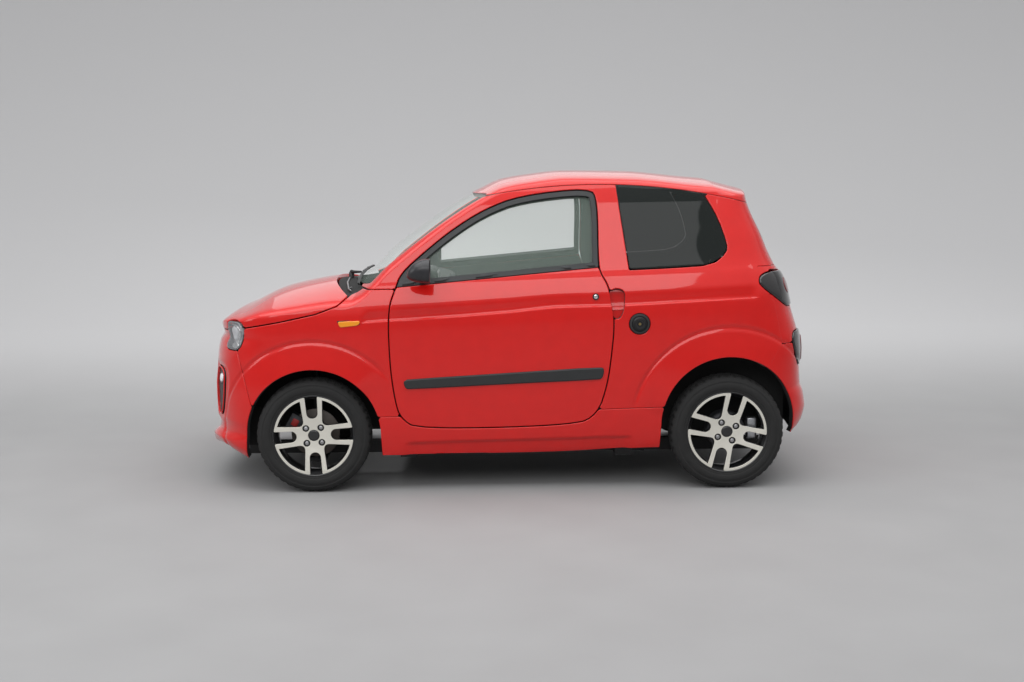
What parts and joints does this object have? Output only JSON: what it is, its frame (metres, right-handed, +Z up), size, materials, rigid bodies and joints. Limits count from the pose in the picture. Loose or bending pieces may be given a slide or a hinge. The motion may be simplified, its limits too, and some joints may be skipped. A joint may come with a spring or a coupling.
{
  "type": "two-seat microcar",
  "caption": "Small closed two-seat car with plastic panels, a sloping hood, hinged doors, a lifting rear window, steered front wheels and a cabin with seats.",
  "frame": {"origin": "on the ground, under the middle of the box around the car", "axes": "+X to the tail, +Y to the right side of the car, +Z up"},
  "size_m": [2.9454, 1.738, 1.5077],
  "materials": {
    "body_red": "gloss",
    "black_plastic": "satin",
    "trim_grey": "matte",
    "clear_glass": "clear",
    "dark_glass": "tinted",
    "tyre": "matte",
    "alloy": "machined",
    "steel": "satin",
    "chassis": "satin",
    "engine": "matte",
    "front_lens": "gloss",
    "rear_lens": "gloss",
    "cabin": "matte",
    "seat": "woven"
  },
  "bodies": {
    "body": {"floor_pan": "cabin", "chassis_rails": "chassis", "side_panel_left": "body_red", "side_panel_right": "body_red", "roof_panel": "body_red", "front_wing_left": "body_red", "front_wing_right": "body_red", "front_bumper": "body_red", "grille": "black_plastic", "lid_pins": "steel", "front_lamps_left": "front_lens", "front_lamps_right": "front_lens", "windscreen": "clear_glass", "cowl_panel": "black_plastic", "wiper": "black_plastic", "dashboard": "cabin", "steering_column": "cabin", "seat_left": "seat", "seat_right": "seat", "engine_block": "engine", "front_arch_liners": "black_plastic", "rear_arch_liners": "black_plastic", "front_suspension": "steel", "rear_axle": "steel", "exhaust": "steel", "sill_left": "body_red", "sill_right": "body_red", "quarter_glass_left": "dark_glass", "quarter_glass_right": "dark_glass", "fuel_cap": "black_plastic", "tail_panel": "body_red", "rear_bumper": "body_red", "rear_lamps_left": "rear_lens", "rear_lamps_right": "rear_lens"},
    "hood": {"hood": "body_red"},
    "hatch": {"hatch_glass": "dark_glass"},
    "door_left": {"door_left": "body_red", "door_glass_left": "clear_glass", "door_trim_left": "trim_grey"},
    "door_right": {"door_right": "body_red", "door_glass_right": "clear_glass", "door_trim_right": "trim_grey"},
    "steering_wheel": {"steering_wheel": "black_plastic"},
    "knuckle_left": {"knuckle_left": "steel"},
    "knuckle_right": {"knuckle_right": "steel"},
    "wheel_front_left": {"rim_front_left": "alloy", "tyre_front_left": "tyre"},
    "wheel_front_right": {"rim_front_right": "alloy", "tyre_front_right": "tyre"},
    "wheel_rear_left": {"rim_rear_left": "alloy", "tyre_rear_left": "tyre"},
    "wheel_rear_right": {"rim_rear_right": "alloy", "tyre_rear_right": "tyre"}
  },
  "joints": [
    {"name": "steer_left", "type": "hinge", "parent": "body", "child": "knuckle_left", "pos_m": [-0.919, -0.5765, 0.272], "axis": [0, 0.1908, 0.9816], "range_deg": [-30, 30]},
    {"name": "steer_right", "type": "hinge", "parent": "body", "child": "knuckle_right", "pos_m": [-0.919, 0.5765, 0.272], "axis": [0, -0.1908, 0.9816], "range_deg": [-30, 30]},
    {"name": "spin_front_left", "type": "hinge", "parent": "knuckle_left", "child": "wheel_front_left", "pos_m": [-0.919, -0.6475, 0.272], "axis": [0, -1, 0], "continuous": true},
    {"name": "spin_front_right", "type": "hinge", "parent": "knuckle_right", "child": "wheel_front_right", "pos_m": [-0.919, 0.6475, 0.272], "axis": [0, -1, 0], "continuous": true},
    {"name": "spin_rear_left", "type": "hinge", "parent": "body", "child": "wheel_rear_left", "pos_m": [1.039, -0.6475, 0.272], "axis": [0, -1, 0], "continuous": true},
    {"name": "spin_rear_right", "type": "hinge", "parent": "body", "child": "wheel_rear_right", "pos_m": [1.039, 0.6475, 0.272], "axis": [0, -1, 0], "continuous": true},
    {"name": "steering_wheel_turn", "type": "hinge", "parent": "body", "child": "steering_wheel", "pos_m": [-0.19, -0.3, 0.858], "axis": [0.8829, 0, 0.4695], "range_deg": [-400, 400]},
    {"name": "door_left_swing", "type": "hinge", "parent": "body", "child": "door_left", "pos_m": [-0.478, -0.71184, 0.6], "axis": [0, -0.0262, -0.9997], "range_deg": [0, 65]},
    {"name": "door_right_swing", "type": "hinge", "parent": "body", "child": "door_right", "pos_m": [-0.478, 0.71184, 0.6], "axis": [0, -0.0262, 0.9997], "range_deg": [0, 65]},
    {"name": "hood_tip", "type": "hinge", "parent": "body", "child": "hood", "pos_m": [-1.404, 0, 0.735], "axis": [0, -1, 0], "range_deg": [0, 50]},
    {"name": "hatch_lift", "type": "hinge", "parent": "body", "child": "hatch", "pos_m": [1.16, 0, 1.392], "axis": [0, -1, 0], "range_deg": [0, 75]}
  ],
  "couplings": [
    {"joint": "steer_right", "follows": "steer_left", "ratio": 1},
    {"joint": "steering_wheel_turn", "follows": "steer_left", "ratio": 13}
  ]
}
